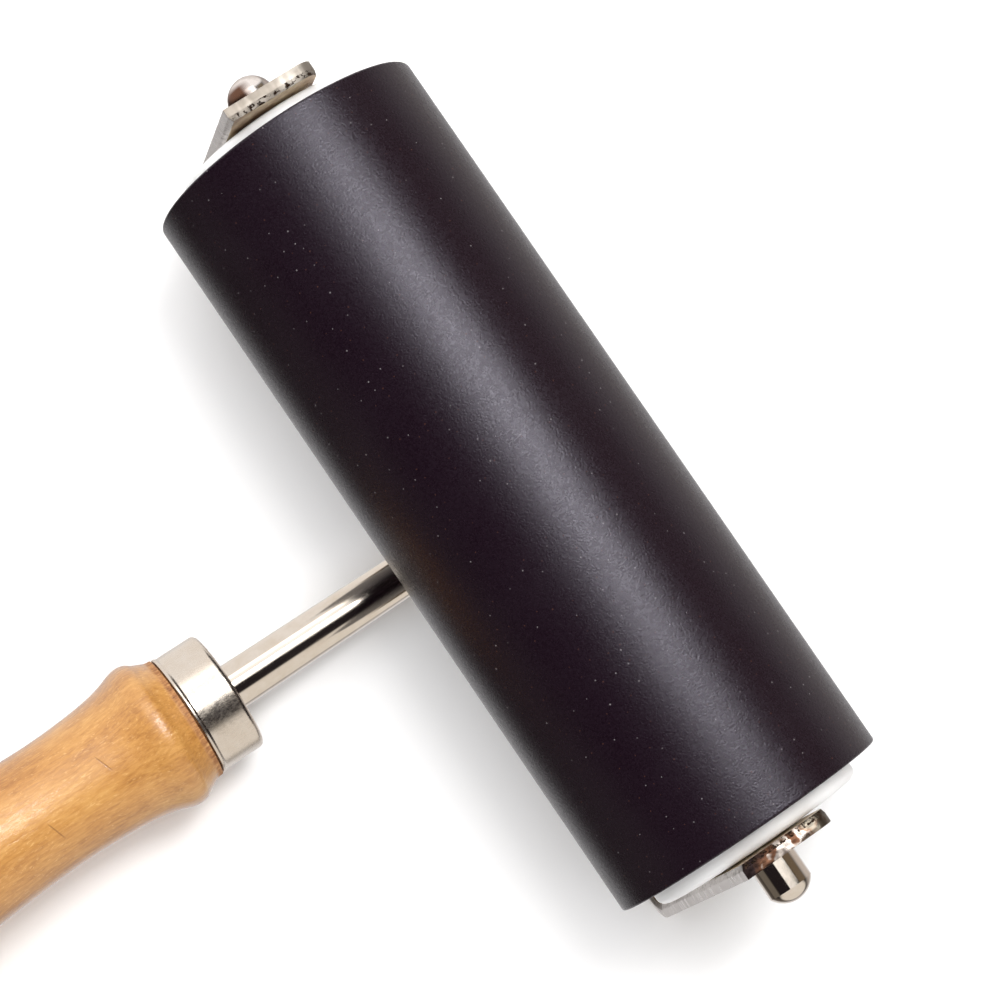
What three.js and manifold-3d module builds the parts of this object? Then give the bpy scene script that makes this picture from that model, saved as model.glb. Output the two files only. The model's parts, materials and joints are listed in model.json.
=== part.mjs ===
// A 150 mm rubber brayer (ink roller), lying on its back with the roller uppermost.
// Units are millimetres. The tool is drawn in its own axes: the origin is the centre of the
// roller, +Y runs along the spindle, +X points along the stem to the wooden handle and +Z
// points away from the yoke's back bar. The finished tool is then tipped until the back bar
// and the handle's front bead both touch the ground.
import * as THREE from 'three';
import { mergeVertices } from 'three/addons/utils/BufferGeometryUtils.js';
import Module from 'manifold-3d';

// Driving dimensions
const ROLLER_LENGTH = 150;
const ROLLER_RADIUS = 27.4;
const RUBBER_WALL = 5.9;
const CORE_WALL = 2.4;
const BOND_GAP = 0.05; // between coaxial layers that have the same facets

const CAP_PROUD = 3.2; // how far a white end cap stands out of the rubber
const CAP_FILLET = 1.5;
const CAP_RECESS = 0.4; // round the hub, for the thrust washer
const CAP_RECESS_RADIUS = 11;
const CAP_FLANGE_INSET = 0.2; // the flange is this much smaller than the rubber's bore
const CAP_PLUG_DEPTH = 14;
const CAP_PLUG_WALL = 2.6;
const CAP_WEB = 3.4;
const CAP_HUB_RADIUS = 9;

const BUSH_RADIUS = 6;
const BUSH_LENGTH = 15;
const BUSH_INSET = 0.1; // below the face of the cap's hub
const SPINDLE_RADIUS = 4.2;
const NECK_RADIUS = 2.9; // spindle end inside the yoke's hole and the nut
const NECK_CHAMFER = 0.7;
const RUNNING_GAP = 0.08;

const ARM_TOP_INNER_Y = 78.5; // inner face of an arm at its end
const ARM_SPLAY = 0.8; // the arms stand this much further apart at the back bar than at their ends
const STRIP_THICKNESS = 2.75;
const STRIP_WIDTH = 18.6;
const ARM_TOP_Z = 25.2;
const ARM_TOP_X = 11; // handle-side corner of an arm's end
const ARM_LEAN = 5.9 * Math.PI / 180;
const ARM_CORNER_RADIUS = 3.4;
const BEND_RADIUS = 4.6; // outside of the bend between an arm and the back bar
const BAR_CENTRE_Z = -32;
const ARM_HOLE_RADIUS = 3.2;

const WASHER_RADIUS = 8;
const WASHER_THICKNESS = 0.5;
const DOMED_NUT_RADIUS = 4.65;
const FLAT_NUT_RADIUS = 4.4;
const NUT_TIP_Y = 90.9;
const NUT_THREAD_DEPTH = 6;
const FLAT_NUT_CROWN = 2.6;

const STEM_Z = BAR_CENTRE_Z;
const STEM_FRONT_RADIUS = 4.2;
const STEM_BACK_RADIUS = 4.55;
const TANG_RADIUS = 3.4;
const TANG_POINT = 6.8; // length of the tang's pointed tip
const TANG_END_X = 128;

const WELD_HEIGHT = 2;
const WELD_LENGTH = 4.4;
const WELD_WIDTH = 6;
const SIDE_WELD_LEG = 2.6;
const SIDE_WELD_HEIGHT = 2.2;
const WELD_GAP = 0.05;

const FERRULE_FRONT_X = 61;
const FERRULE_BACK_X = 70.4;
const FERRULE_RADIUS = 12.3;
const FERRULE_WALL = 0.9;
const FERRULE_EDGE_RADIUS = 1.1;
const RIM_SWELL = 0.25;
const RIM_LENGTH = 0.5; // of the swollen part of the rim, after a slope of RIM_SLOPE
const RIM_SLOPE = 0.7;
const SPIGOT_LENGTH = 7.1; // wood inside the ferrule

const HANDLE_END_X = 186;
const SEAT_GAP = 0.3; // between pieces that meet face to face
const SEGMENTS = 48;

// Materials, one function for each
const rubber = () => new THREE.MeshStandardMaterial({ color: 0x1d1a21, roughness: 0.62, metalness: 0 });
const coreTube = () => new THREE.MeshStandardMaterial({ color: 0xb9babb, roughness: 0.4, metalness: 1 });
const whitePlastic = () => new THREE.MeshStandardMaterial({ color: 0xf4f5f5, roughness: 0.35, metalness: 0 });
const bronze = () => new THREE.MeshStandardMaterial({ color: 0xb08a4c, roughness: 0.4, metalness: 1 });
const nickel = () => new THREE.MeshStandardMaterial({ color: 0xd6cfc6, roughness: 0.16, metalness: 1 });
const wood = () => new THREE.MeshStandardMaterial({ color: 0xcc8f4c, roughness: 0.35, metalness: 0 });

// Booleans on closed meshes
const wasm = await Module();
wasm.setup();

function toSolid(geometry) {
  const bare = geometry.clone();
  bare.deleteAttribute('normal');
  bare.deleteAttribute('uv');
  const merged = mergeVertices(bare, 1e-4);
  return new wasm.Manifold(new wasm.Mesh({
    numProp: 3,
    vertProperties: new Float32Array(merged.attributes.position.array),
    triVerts: new Uint32Array(merged.index.array),
  }));
}

function toGeometry(solid) {
  const mesh = solid.getMesh();
  const geometry = new THREE.BufferGeometry();
  geometry.setAttribute('position', new THREE.BufferAttribute(new Float32Array(mesh.vertProperties), 3));
  geometry.setIndex(new THREE.BufferAttribute(new Uint32Array(mesh.triVerts), 1));
  geometry.computeVertexNormals();
  return geometry;
}

function named(name, geometry, material) {
  const mesh = new THREE.Mesh(geometry, material);
  mesh.name = name;
  return mesh;
}

// Points [radius, height] of a quarter arc, from startAngle to endAngle about (radius, height)
function arc(radius, height, size, startAngle, endAngle, steps) {
  const points = [];
  for (let i = 0; i <= steps; i += 1) {
    const angle = startAngle + (endAngle - startAngle) * i / steps;
    points.push([radius + size * Math.cos(angle), height + size * Math.sin(angle)]);
  }
  return points;
}

// A solid of revolution about +Y from points [radius, y], anticlockwise in the (radius, y) plane
function turned(points, segments = SEGMENTS) {
  const profile = points.map(([radius, y]) => new THREE.Vector2(radius, y));
  return new THREE.LatheGeometry(profile, segments);
}

// The same with a bore: the outline closes on itself
function turnedRing(points, segments = SEGMENTS) {
  return turned([...points, points[0]], segments);
}

// Lays a solid turned about Y along +X, with its heights becoming X
function alongX(geometry) {
  return geometry.rotateZ(-Math.PI / 2);
}

// Mirrors a turned piece to the other end of the roller
function atEnd(mesh, side) {
  if (side < 0) mesh.rotation.x = Math.PI;
  return mesh;
}

const roller = new THREE.Group();
const frame = new THREE.Group();

// Roller: rubber sleeve, core tube, end caps and their bushes
const halfLength = ROLLER_LENGTH / 2;
const rubberInner = ROLLER_RADIUS - RUBBER_WALL;
const coreOuter = rubberInner - BOND_GAP;
const coreInner = coreOuter - CORE_WALL;
const hubFace = halfLength + CAP_PROUD - CAP_RECESS; // the cap's face round the spindle
const RUBBER_CHAMFER = 0.4;
const CORE_INSET = 0.3; // the core tube is shorter than the rubber by this much at each end

function rubberSleeve() {
  const outer = ROLLER_RADIUS;
  return turnedRing([
    [rubberInner, -halfLength],
    [outer - RUBBER_CHAMFER, -halfLength],
    [outer, -halfLength + RUBBER_CHAMFER],
    [outer, halfLength - RUBBER_CHAMFER],
    [outer - RUBBER_CHAMFER, halfLength],
    [rubberInner, halfLength],
  ]);
}

function core() {
  const end = halfLength - CORE_INSET;
  return turnedRing([[coreInner, -end], [coreOuter, -end], [coreOuter, end], [coreInner, end]]);
}

function endCap() {
  const flangeRadius = rubberInner - CAP_FLANGE_INSET;
  const plugRadius = coreInner - BOND_GAP;
  const boreRadius = BUSH_RADIUS + BOND_GAP;
  const face = halfLength + CAP_PROUD;
  const plugEnd = halfLength - CAP_PLUG_DEPTH;
  const webInner = halfLength - CAP_WEB;
  return turnedRing([
    [boreRadius, plugEnd],
    [CAP_HUB_RADIUS, plugEnd],
    [CAP_HUB_RADIUS, webInner],
    [plugRadius - CAP_PLUG_WALL, webInner],
    [plugRadius - CAP_PLUG_WALL, plugEnd],
    [plugRadius, plugEnd],
    [plugRadius, halfLength],
    [flangeRadius, halfLength],
    ...arc(flangeRadius - CAP_FILLET, face - CAP_FILLET, CAP_FILLET, 0, Math.PI / 2, 3),
    [CAP_RECESS_RADIUS + CAP_RECESS, face],
    [CAP_RECESS_RADIUS, hubFace],
    [boreRadius, hubFace],
  ]);
}

function bush() {
  const face = hubFace - BUSH_INSET;
  const boreRadius = SPINDLE_RADIUS + RUNNING_GAP;
  return turnedRing([
    [boreRadius, face - BUSH_LENGTH],
    [BUSH_RADIUS, face - BUSH_LENGTH],
    [BUSH_RADIUS, face],
    [boreRadius, face],
  ]);
}

roller.add(named('rubber_sleeve', rubberSleeve(), rubber()));
roller.add(named('core_tube', core(), coreTube()));
const ends = [['domed_end', -1], ['flat_end', 1]];
for (const [end, side] of ends) {
  roller.add(atEnd(named(`end_cap_${end}`, endCap(), whitePlastic()), side));
  roller.add(atEnd(named(`bush_${end}`, bush(), bronze()), side));
}

// Where an arm's inner face is at a height, as the arms lean outward toward the back bar
const splayAngle = Math.atan2(ARM_SPLAY, ARM_TOP_Z - BAR_CENTRE_Z);
const armInnerY = (z) => ARM_TOP_INNER_Y + (ARM_TOP_Z - z) * Math.tan(splayAngle);
const armOuterY = (z) => armInnerY(z) + STRIP_THICKNESS / Math.cos(splayAngle);
const nutSeat = armOuterY(-DOMED_NUT_RADIUS) + BOND_GAP;

// Spindle: a shaft that shoulders against both arms, with a threaded neck at each end
function spindle() {
  const shoulder = armInnerY(SPINDLE_RADIUS) - BOND_GAP;
  const neckEnd = nutSeat + NUT_THREAD_DEPTH - SEAT_GAP;
  const half = [
    [SPINDLE_RADIUS, shoulder],
    [NECK_RADIUS, shoulder],
    [NECK_RADIUS, neckEnd - NECK_CHAMFER],
    [NECK_RADIUS - NECK_CHAMFER, neckEnd],
  ];
  const lower = half.map(([radius, y]) => [radius, -y]).reverse();
  return turned([[0, -neckEnd], ...lower, ...half, [0, neckEnd]]);
}

// A round nut with a blind thread; its crown is a list of points from the wall to the axis
function nut(radius, crown) {
  const boreRadius = NECK_RADIUS + BOND_GAP;
  const boreEnd = nutSeat + NUT_THREAD_DEPTH;
  return turned([
    [0, boreEnd],
    [boreRadius, boreEnd],
    [boreRadius, nutSeat],
    [radius, nutSeat],
    ...crown,
  ]);
}

function domedNut() {
  const radius = DOMED_NUT_RADIUS;
  return nut(radius, arc(0, NUT_TIP_Y - radius, radius, 0, Math.PI / 2, 7));
}

function flatNut() {
  const radius = FLAT_NUT_RADIUS;
  const crownRadius = (radius ** 2 + FLAT_NUT_CROWN ** 2) / (2 * FLAT_NUT_CROWN);
  const halfAngle = Math.asin(radius / crownRadius);
  const start = Math.PI / 2 - halfAngle;
  return nut(radius, arc(0, NUT_TIP_Y - crownRadius, crownRadius, start, Math.PI / 2, 5));
}

function thrustWasher() {
  const middle = (hubFace + armInnerY(WASHER_RADIUS)) / 2;
  const low = middle - WASHER_THICKNESS / 2;
  const high = middle + WASHER_THICKNESS / 2;
  const boreRadius = SPINDLE_RADIUS + RUNNING_GAP;
  return turnedRing([[boreRadius, low], [WASHER_RADIUS, low], [WASHER_RADIUS, high], [boreRadius, high]]);
}

frame.add(named('spindle', spindle(), nickel()));
frame.add(atEnd(named('axle_nut_domed', domedNut(), nickel()), -1));
frame.add(atEnd(named('axle_nut_flat', flatNut(), nickel()), 1));
for (const [end, side] of ends) {
  frame.add(atEnd(named(`thrust_washer_${end}`, thrustWasher(), whitePlastic()), side));
}

// Yoke: one strip, bent into a back bar and two arms that lean toward the handle at the bar.
// The bent strip is an outline in the YZ plane, extruded along X and then trimmed to the
// side view of the arms.
const barTop = BAR_CENTRE_Z + STRIP_THICKNESS / 2;
const barBottom = BAR_CENTRE_Z - STRIP_THICKNESS / 2;
const barHandleX = ARM_TOP_X + (ARM_TOP_Z - BAR_CENTRE_Z) * Math.tan(ARM_LEAN);
const barFarX = barHandleX - STRIP_WIDTH;

function bentStrip() {
  const innerBend = BEND_RADIUS - STRIP_THICKNESS;
  const centreZ = barBottom + BEND_RADIUS;
  const centreY = armOuterY(centreZ) - BEND_RADIUS / Math.cos(splayAngle);
  const outer = arc(centreY, centreZ, BEND_RADIUS, -Math.PI / 2, splayAngle, 8);
  const inner = arc(centreY, centreZ, innerBend, splayAngle, -Math.PI / 2, 8);
  const above = ARM_TOP_Z + 1;
  const right = [...outer, [armOuterY(above), above], [armInnerY(above), above], ...inner];
  const left = right.map(([y, z]) => [-y, z]).reverse();
  const outline = new THREE.Shape([...right, ...left].map(([y, z]) => new THREE.Vector2(y, z)));
  const length = 60; // more than the strip's width and lean
  const strip = new THREE.ExtrudeGeometry(outline, { depth: length, bevelEnabled: false });
  strip.rotateX(Math.PI / 2);
  strip.rotateZ(Math.PI / 2);
  strip.translate(-length / 2, 0, 0);
  return strip;
}

const YOKE_REACH = 100; // further than the arms' outer faces

function sideView() {
  const below = barBottom - 1;
  const farTopX = ARM_TOP_X - STRIP_WIDTH;
  const corner = arc(
    farTopX + ARM_CORNER_RADIUS,
    ARM_TOP_Z - ARM_CORNER_RADIUS,
    ARM_CORNER_RADIUS,
    Math.PI / 2,
    Math.PI,
    6,
  );
  const outline = new THREE.Shape([
    [ARM_TOP_X, ARM_TOP_Z],
    ...corner,
    [barFarX, BAR_CENTRE_Z],
    [barFarX, below],
    [barHandleX, below],
    [barHandleX, BAR_CENTRE_Z],
  ].map(([x, z]) => new THREE.Vector2(x, z)));
  const block = new THREE.ExtrudeGeometry(outline, { depth: 2 * YOKE_REACH, bevelEnabled: false });
  block.rotateX(Math.PI / 2);
  block.translate(0, YOKE_REACH, 0);
  return block;
}

function yoke() {
  const holes = new THREE.CylinderGeometry(ARM_HOLE_RADIUS, ARM_HOLE_RADIUS, 2 * YOKE_REACH, SEGMENTS);
  return toGeometry(toSolid(bentStrip()).intersect(toSolid(sideView())).subtract(toSolid(holes)));
}

frame.add(named('yoke', yoke(), nickel()));

// Stem: a round rod butted and welded to the bar's handle-side edge; its tang sits in the wood
const stemFrontX = barHandleX + SEAT_GAP;
const spigotFront = FERRULE_BACK_X + SEAT_GAP - SPIGOT_LENGTH;
const stemShoulderX = spigotFront - SEAT_GAP;

function stem() {
  return alongX(turned([
    [0, stemFrontX],
    [STEM_FRONT_RADIUS, stemFrontX],
    [STEM_BACK_RADIUS, FERRULE_FRONT_X],
    [STEM_BACK_RADIUS, stemShoulderX],
    [TANG_RADIUS, stemShoulderX],
    [TANG_RADIUS, TANG_END_X - TANG_POINT],
    [0, TANG_END_X],
  ]));
}

// A weld bead: two straight legs and a slightly hollow face, drawn in a plane and then given a width
function weldBead(leg, height, width) {
  const bead = new THREE.Shape();
  bead.moveTo(-leg, 0);
  bead.quadraticCurveTo(-leg / 3, height / 3, 0, height);
  bead.lineTo(0, 0);
  const geometry = new THREE.ExtrudeGeometry(bead, { depth: width, bevelEnabled: false, curveSegments: 5 });
  return geometry.translate(0, 0, -width / 2);
}

// On the bar's upper face, against the end of the stem
function upperWeld() {
  const geometry = weldBead(WELD_LENGTH, WELD_HEIGHT, WELD_WIDTH);
  geometry.rotateX(Math.PI / 2);
  return geometry.translate(barHandleX, 0, barTop + WELD_GAP);
}

// In the corner between the bar's handle-side edge and one side of the stem
function sideWeld(side) {
  const geometry = weldBead(SIDE_WELD_LEG, SIDE_WELD_LEG, SIDE_WELD_HEIGHT);
  geometry.rotateZ(side > 0 ? -Math.PI / 2 : Math.PI);
  const cornerY = side * (STEM_FRONT_RADIUS + WELD_GAP);
  return geometry.translate(barHandleX + WELD_GAP, cornerY, BAR_CENTRE_Z);
}

const stemMesh = named('stem', stem(), nickel());
stemMesh.position.z = STEM_Z;
frame.add(stemMesh);
frame.add(named('weld_bead_upper', upperWeld(), nickel()));
for (const [end, side] of ends) {
  frame.add(named(`weld_bead_${end}`, sideWeld(side), nickel()));
}

// Ferrule: a plated cup, closed toward the roller, with a slightly flared rim on the wood
function ferrule() {
  const outer = FERRULE_RADIUS;
  const inner = outer - FERRULE_WALL;
  const boreRadius = STEM_BACK_RADIUS + BOND_GAP;
  const edge = FERRULE_EDGE_RADIUS;
  return alongX(turnedRing([
    [boreRadius, FERRULE_FRONT_X],
    ...arc(outer - edge, FERRULE_FRONT_X + edge, edge, -Math.PI / 2, 0, 3),
    [outer, FERRULE_BACK_X - RIM_LENGTH - RIM_SLOPE],
    [outer + RIM_SWELL, FERRULE_BACK_X - RIM_LENGTH],
    [outer + RIM_SWELL, FERRULE_BACK_X],
    [inner, FERRULE_BACK_X],
    [inner, FERRULE_FRONT_X + FERRULE_WALL],
    [boreRadius, FERRULE_FRONT_X + FERRULE_WALL],
  ]));
}

// Handle: spigot inside the ferrule, shoulder, front bead, slim neck, belly and rounded butt
const handlePoints = [
  [12.75, FERRULE_BACK_X + SEAT_GAP],
  [12.95, 71.9],
  [13.9, 73.9],
  [14.75, 75.3],
  [15.05, 76.9],
  [14.75, 78.7],
  [13.9, 81.2],
  [13.2, 84.2],
  [12.6, 89],
  [12.15, 97],
  [12.25, 105],
  [13.0, 117],
  [14.1, 130],
  [14.9, 143],
  [15.1, 154],
  [14.7, 165],
  [13.7, 174],
  [11.9, 180.5],
  [8.6, 184.6],
  [4.4, HANDLE_END_X - 0.3],
  [0, HANDLE_END_X],
];

function handle() {
  const spigotRadius = FERRULE_RADIUS - FERRULE_WALL - BOND_GAP;
  const boreRadius = TANG_RADIUS + BOND_GAP;
  const boreEnd = TANG_END_X + SEAT_GAP;
  return alongX(turned([
    [0, boreEnd],
    [boreRadius, boreEnd],
    [boreRadius, spigotFront],
    [spigotRadius, spigotFront],
    [spigotRadius, FERRULE_BACK_X + SEAT_GAP],
    ...handlePoints,
  ]));
}

for (const mesh of [named('ferrule', ferrule(), nickel()), named('wood_handle', handle(), wood())]) {
  mesh.position.z = STEM_Z;
  frame.add(mesh);
}

// Tip the tool until the back bar's far lower edge and the handle both touch the ground
const pitch = Math.max(...handlePoints.map(([radius, x]) => (
  Math.atan2(barBottom - (STEM_Z - radius), x - barFarX)
)));

const tool = new THREE.Group();
tool.add(roller, frame);
tool.rotation.y = -pitch;
tool.updateMatrixWorld(true);

// The origin is on the ground, below the middle of the tool's bounding box
const brayer = new THREE.Group();
const box = new THREE.Box3().setFromObject(tool, true);
const centre = box.getCenter(new THREE.Vector3());
tool.position.set(-centre.x, -centre.y, -box.min.z);
brayer.add(tool);
brayer.updateMatrixWorld(true);

export default brayer;
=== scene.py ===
import json
import math

import bmesh
import bpy
import numpy as np
from mathutils import Matrix, Vector, noise


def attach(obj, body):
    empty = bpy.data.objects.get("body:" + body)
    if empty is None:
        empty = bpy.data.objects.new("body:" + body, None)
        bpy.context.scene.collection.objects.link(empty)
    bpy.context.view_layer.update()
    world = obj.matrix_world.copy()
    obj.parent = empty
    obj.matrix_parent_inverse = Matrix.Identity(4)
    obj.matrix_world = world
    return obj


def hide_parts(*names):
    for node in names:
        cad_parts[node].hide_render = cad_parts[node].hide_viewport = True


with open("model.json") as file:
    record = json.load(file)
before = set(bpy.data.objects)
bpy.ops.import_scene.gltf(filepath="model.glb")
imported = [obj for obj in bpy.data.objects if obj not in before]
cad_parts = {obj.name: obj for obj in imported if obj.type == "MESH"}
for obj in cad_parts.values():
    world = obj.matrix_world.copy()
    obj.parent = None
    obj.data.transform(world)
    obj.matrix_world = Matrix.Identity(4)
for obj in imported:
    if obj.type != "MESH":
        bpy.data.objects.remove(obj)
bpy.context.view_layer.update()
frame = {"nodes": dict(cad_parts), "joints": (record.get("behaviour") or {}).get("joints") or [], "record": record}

MM = 0.001

# The tool's own axes: the origin is the roller's centre, +Y is the spindle, +X runs along the stem
# to the handle and +Z points away from the yoke's back bar. Every piece is made in these axes.
BAR_NORMAL = Vector(frame["record"]["mounts"][0]["axis"])
PITCH = math.atan2(BAR_NORMAL.x, -BAR_NORMAL.z)
TOOL = Matrix.Translation(Vector(frame["joints"][0]["pos_m"])) @ Matrix.Rotation(-PITCH, 4, "Y")

# Driving dimensions that the frame doesn't say
BOND_GAP = 0.05 * MM  # between coaxial pieces that are glued or pressed together
RUNNING_GAP = 0.08 * MM  # between the spindle and what turns on it
SEAT_GAP = 0.3 * MM  # between pieces that meet face to face

CORE_WALL = 2.4 * MM
CAP_HUB_RADIUS = 9 * MM
CAP_RECESS_RADIUS = 11 * MM
CAP_RECESS = 0.4 * MM
CAP_WEB = 3.4 * MM
CAP_PLUG_WALL = 2.6 * MM
CAP_FILLET = 1.5 * MM

NECK_RADIUS = 2.9 * MM  # the spindle's ends, inside the yoke and the nuts
NUT_THREAD_DEPTH = 6 * MM
NUT_CROWN = 2.6 * MM  # height of the flat-end nut's low crown

STRIP_THICKNESS = 2.75 * MM
BEND_RADIUS = 4.6 * MM  # outside of the bend
ARM_CORNER_RADIUS = 3.4 * MM
ARM_HOLE_RADIUS = 3.2 * MM

STEM_FRONT_RADIUS = 4.2 * MM
STEM_IN_FERRULE = 2 * MM  # how far the stem's full thickness reaches into the ferrule
TANG_RADIUS = 3.4 * MM
TANG_POINT = 2 * TANG_RADIUS  # length of the tang's pointed tip

FERRULE_WALL = 0.9 * MM
FERRULE_EDGE = 1.1 * MM
RIM_SWELL = 0.25 * MM
RIM_LENGTH = 0.55 * MM
RIM_SLOPE = 0.4 * MM  # length of the rise from the ferrule's side to its rim

# Roundings of turned edges
CRISP = 0.1 * MM
BROKEN = 0.2 * MM
EASED = 0.3 * MM
ROUNDED = 0.5 * MM
LEAD_IN = 0.6 * MM
SWEPT = 0.8 * MM
THIN_EDGE = 0.15 * MM
NUT_EDGE = 0.25 * MM
RIM_EDGE = 0.25 * MM
STEM_FRONT_EDGE = 0.4 * MM

TOUCHING = 0.01 * MM  # CAD vertices this close to a plane lie in it
FACET_TRIM = 0.03 * MM  # keeps the smooth roller inside the box of the CAD's faceted one
OUTLINE_TRIM = 0.07 * MM  # keeps the handle's smooth outline inside the CAD's box

# Facets round a turned piece
LARGE = 256
FINE = 192
SMALL = 96
DRILL = 64

DOME_STEPS = 24
CROWN_STEPS = 20
SHARP_DEGREES = 32  # an edge that turns by more than this is shaded sharp
NUT_SHARP_DEGREES = 24


# ---------------------------------------------------------------- camera
# In the tool's axes, with the up angle turned from +X about +Z
CAMERA_PLACE = Vector((117.8, 46.3, 531.0)) * MM
CAMERA_AIM = Vector((4.0, 1.0, 0.0)) * MM
CAMERA_UP_ANGLE = math.radians(-124.54)
CAMERA_LENS = 107.6


def add_camera():
    camera = bpy.data.objects.new("camera", bpy.data.cameras.new("camera"))
    bpy.context.scene.collection.objects.link(camera)
    camera.data.sensor_width = 36
    camera.data.lens = CAMERA_LENS
    back = (CAMERA_PLACE - CAMERA_AIM).normalized()
    hint = Vector((math.cos(CAMERA_UP_ANGLE), math.sin(CAMERA_UP_ANGLE), 0))
    right = hint.cross(back).normalized()
    up = back.cross(right)
    turn = Matrix((right, up, back)).transposed().to_4x4()
    camera.matrix_world = TOOL @ Matrix.Translation(CAMERA_PLACE) @ turn
    bpy.context.scene.camera = camera


# ---------------------------------------------------------------- shapes
def places_of(node):
    """A CAD node's vertices in the tool's axes."""
    to_tool = TOOL.inverted()
    return np.array([to_tool @ vertex.co for vertex in frame["nodes"][node].data.vertices])


def extent(node):
    """Lowest and highest corner of a CAD node in the tool's axes."""
    places = places_of(node)
    return Vector(places.min(axis=0)), Vector(places.max(axis=0))


def turned_end(node, least_radius):
    """How far along +Y a turned CAD node reaches outside a radius."""
    places = places_of(node)
    return places[np.hypot(places[:, 0], places[:, 2]) > least_radius][:, 1].max()


def rounded(corners, steps=6, closed=True):
    """Turns (radius, height, fillet) corners into (radius, height) points with round fillets."""
    points = []
    count = len(corners)
    for index, (radius, height, size) in enumerate(corners):
        corner = Vector((radius, height))
        at_end = not closed and index in (0, count - 1)
        if size == 0 or at_end:
            points.append(corner)
            continue
        before = (Vector(corners[index - 1][:2]) - corner).normalized()
        after = (Vector(corners[(index + 1) % count][:2]) - corner).normalized()
        half_angle = before.angle(after) / 2
        reach = size / math.tan(half_angle)
        centre = corner + (before + after).normalized() * size / math.sin(half_angle)
        start = corner + before * reach - centre
        end = corner + after * reach - centre
        turn = start.angle_signed(end)
        for step in range(steps + 1):
            part = Matrix.Rotation(-turn * step / steps, 2) @ start
            points.append(centre + part)
    return points


def tube(bore, outer, low, high, bore_edge, outer_edge, steps=3):
    """A plain tube's outline, from one end's height to the other's."""
    return rounded([(bore, low, bore_edge), (outer, low, outer_edge),
                    (outer, high, outer_edge), (bore, high, bore_edge)], steps)


def lathe(outline, axis="Y", height=0.0, segments=FINE, closed=True):
    """A solid of revolution about the tool's Y, or about X raised by height."""
    mesh = bmesh.new()
    rings = []
    for radius, along in outline:
        if radius < 1e-9:
            place = (0, along, 0) if axis == "Y" else (along, 0, height)
            rings.append([mesh.verts.new(place)])
            continue
        ring = []
        for step in range(segments):
            angle = math.tau * step / segments
            across = radius * math.cos(angle)
            upward = radius * math.sin(angle)
            place = (across, along, upward) if axis == "Y" else (along, across, upward + height)
            ring.append(mesh.verts.new(place))
        rings.append(ring)
    pairs = list(zip(rings, rings[1:]))
    if closed:
        pairs.append((rings[-1], rings[0]))
    for low, high in pairs:
        for step in range(segments):
            after = (step + 1) % segments
            if len(low) == 1 and len(high) == 1:
                break
            if len(low) == 1:
                mesh.faces.new((low[0], high[step], high[after]))
            elif len(high) == 1:
                mesh.faces.new((low[step], low[after], high[0]))
            else:
                mesh.faces.new((low[step], low[after], high[after], high[step]))
    bmesh.ops.recalc_face_normals(mesh, faces=mesh.faces)
    return mesh


def finish_piece(node, mesh, material, sharp_degrees=SHARP_DEGREES):
    """Makes the object that stands for a CAD node, placed in the frame and riding on its body."""
    data = bpy.data.meshes.new(f"{node}_fine")
    mesh.transform(TOOL)
    mesh.to_mesh(data)
    mesh.free()
    piece = bpy.data.objects.new(f"{node}_fine", data)
    bpy.context.scene.collection.objects.link(piece)
    materials = material if isinstance(material, (list, tuple)) else [material]
    for one in materials:
        data.materials.append(one)
    data.shade_smooth()
    data.set_sharp_from_angle(angle=math.radians(sharp_degrees))
    weighted = piece.modifiers.new("weighted_normal", "WEIGHTED_NORMAL")
    weighted.keep_sharp = True
    bodies = frame["record"]["behaviour"]["bodies"]
    body = next(name for name, nodes in bodies.items() if node in nodes)
    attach(piece, body)
    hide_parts(node)
    return piece


# ---------------------------------------------------------------- materials
# Colours, as linear red, green and blue
RUBBER = (0.0060, 0.0022, 0.0050)
RUBBER_GRAIN = (0.0110, 0.0050, 0.0095)
RUBBER_CLOUD = (0.013, 0.008, 0.012)
PALE_DUST = (0.26, 0.24, 0.25)
BROWN_DUST = (0.11, 0.045, 0.03)
CAP_WHITE = (0.90, 0.91, 0.92)
CAP_PALER = (0.94, 0.95, 0.95)
CAP_DIRT = (0.32, 0.17, 0.07)
NICKEL = (0.80, 0.735, 0.66)
NICKEL_STAIN = (0.74, 0.655, 0.56)
CUT_BRIGHT = (0.74, 0.68, 0.59)
CUT_DRAGGED = (0.57, 0.49, 0.40)
CUT_BROWN = (0.42, 0.36, 0.28)
CUT_CREAM = (0.44, 0.41, 0.375)
CUT_CREAM_SHADE = (0.28, 0.255, 0.23)
# pale grey for the cut faces toward the handle: a painted reflection of the white floor
CUT_HANDLE_SIDE_REFLECTION = (0.78, 0.745, 0.72)
CUT_PIT = (0.085, 0.055, 0.04)
# dark brown of the domed nut's painted reflection beside the arm
NUT_PAINTED_REFLECTION = (0.13, 0.045, 0.015)
WOOD_FLECK = (0.34, 0.14, 0.038)
WOOD_GLINT = (0.80, 0.51, 0.21)
WOOD_NICK = (0.22, 0.085, 0.025)
BRONZE = (0.55, 0.37, 0.16)
BRONZE_PORE = (0.30, 0.18, 0.07)
ALUMINIUM_LINE = (0.66, 0.66, 0.67)
ALUMINIUM = (0.80, 0.80, 0.81)
WASHER_SHADE = (0.74, 0.74, 0.71)
WASHER_WHITE = (0.82, 0.82, 0.80)
FLOOR_SHADE = (0.955, 0.96, 0.965)
FLOOR_WHITE = (0.965, 0.97, 0.975)

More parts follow.
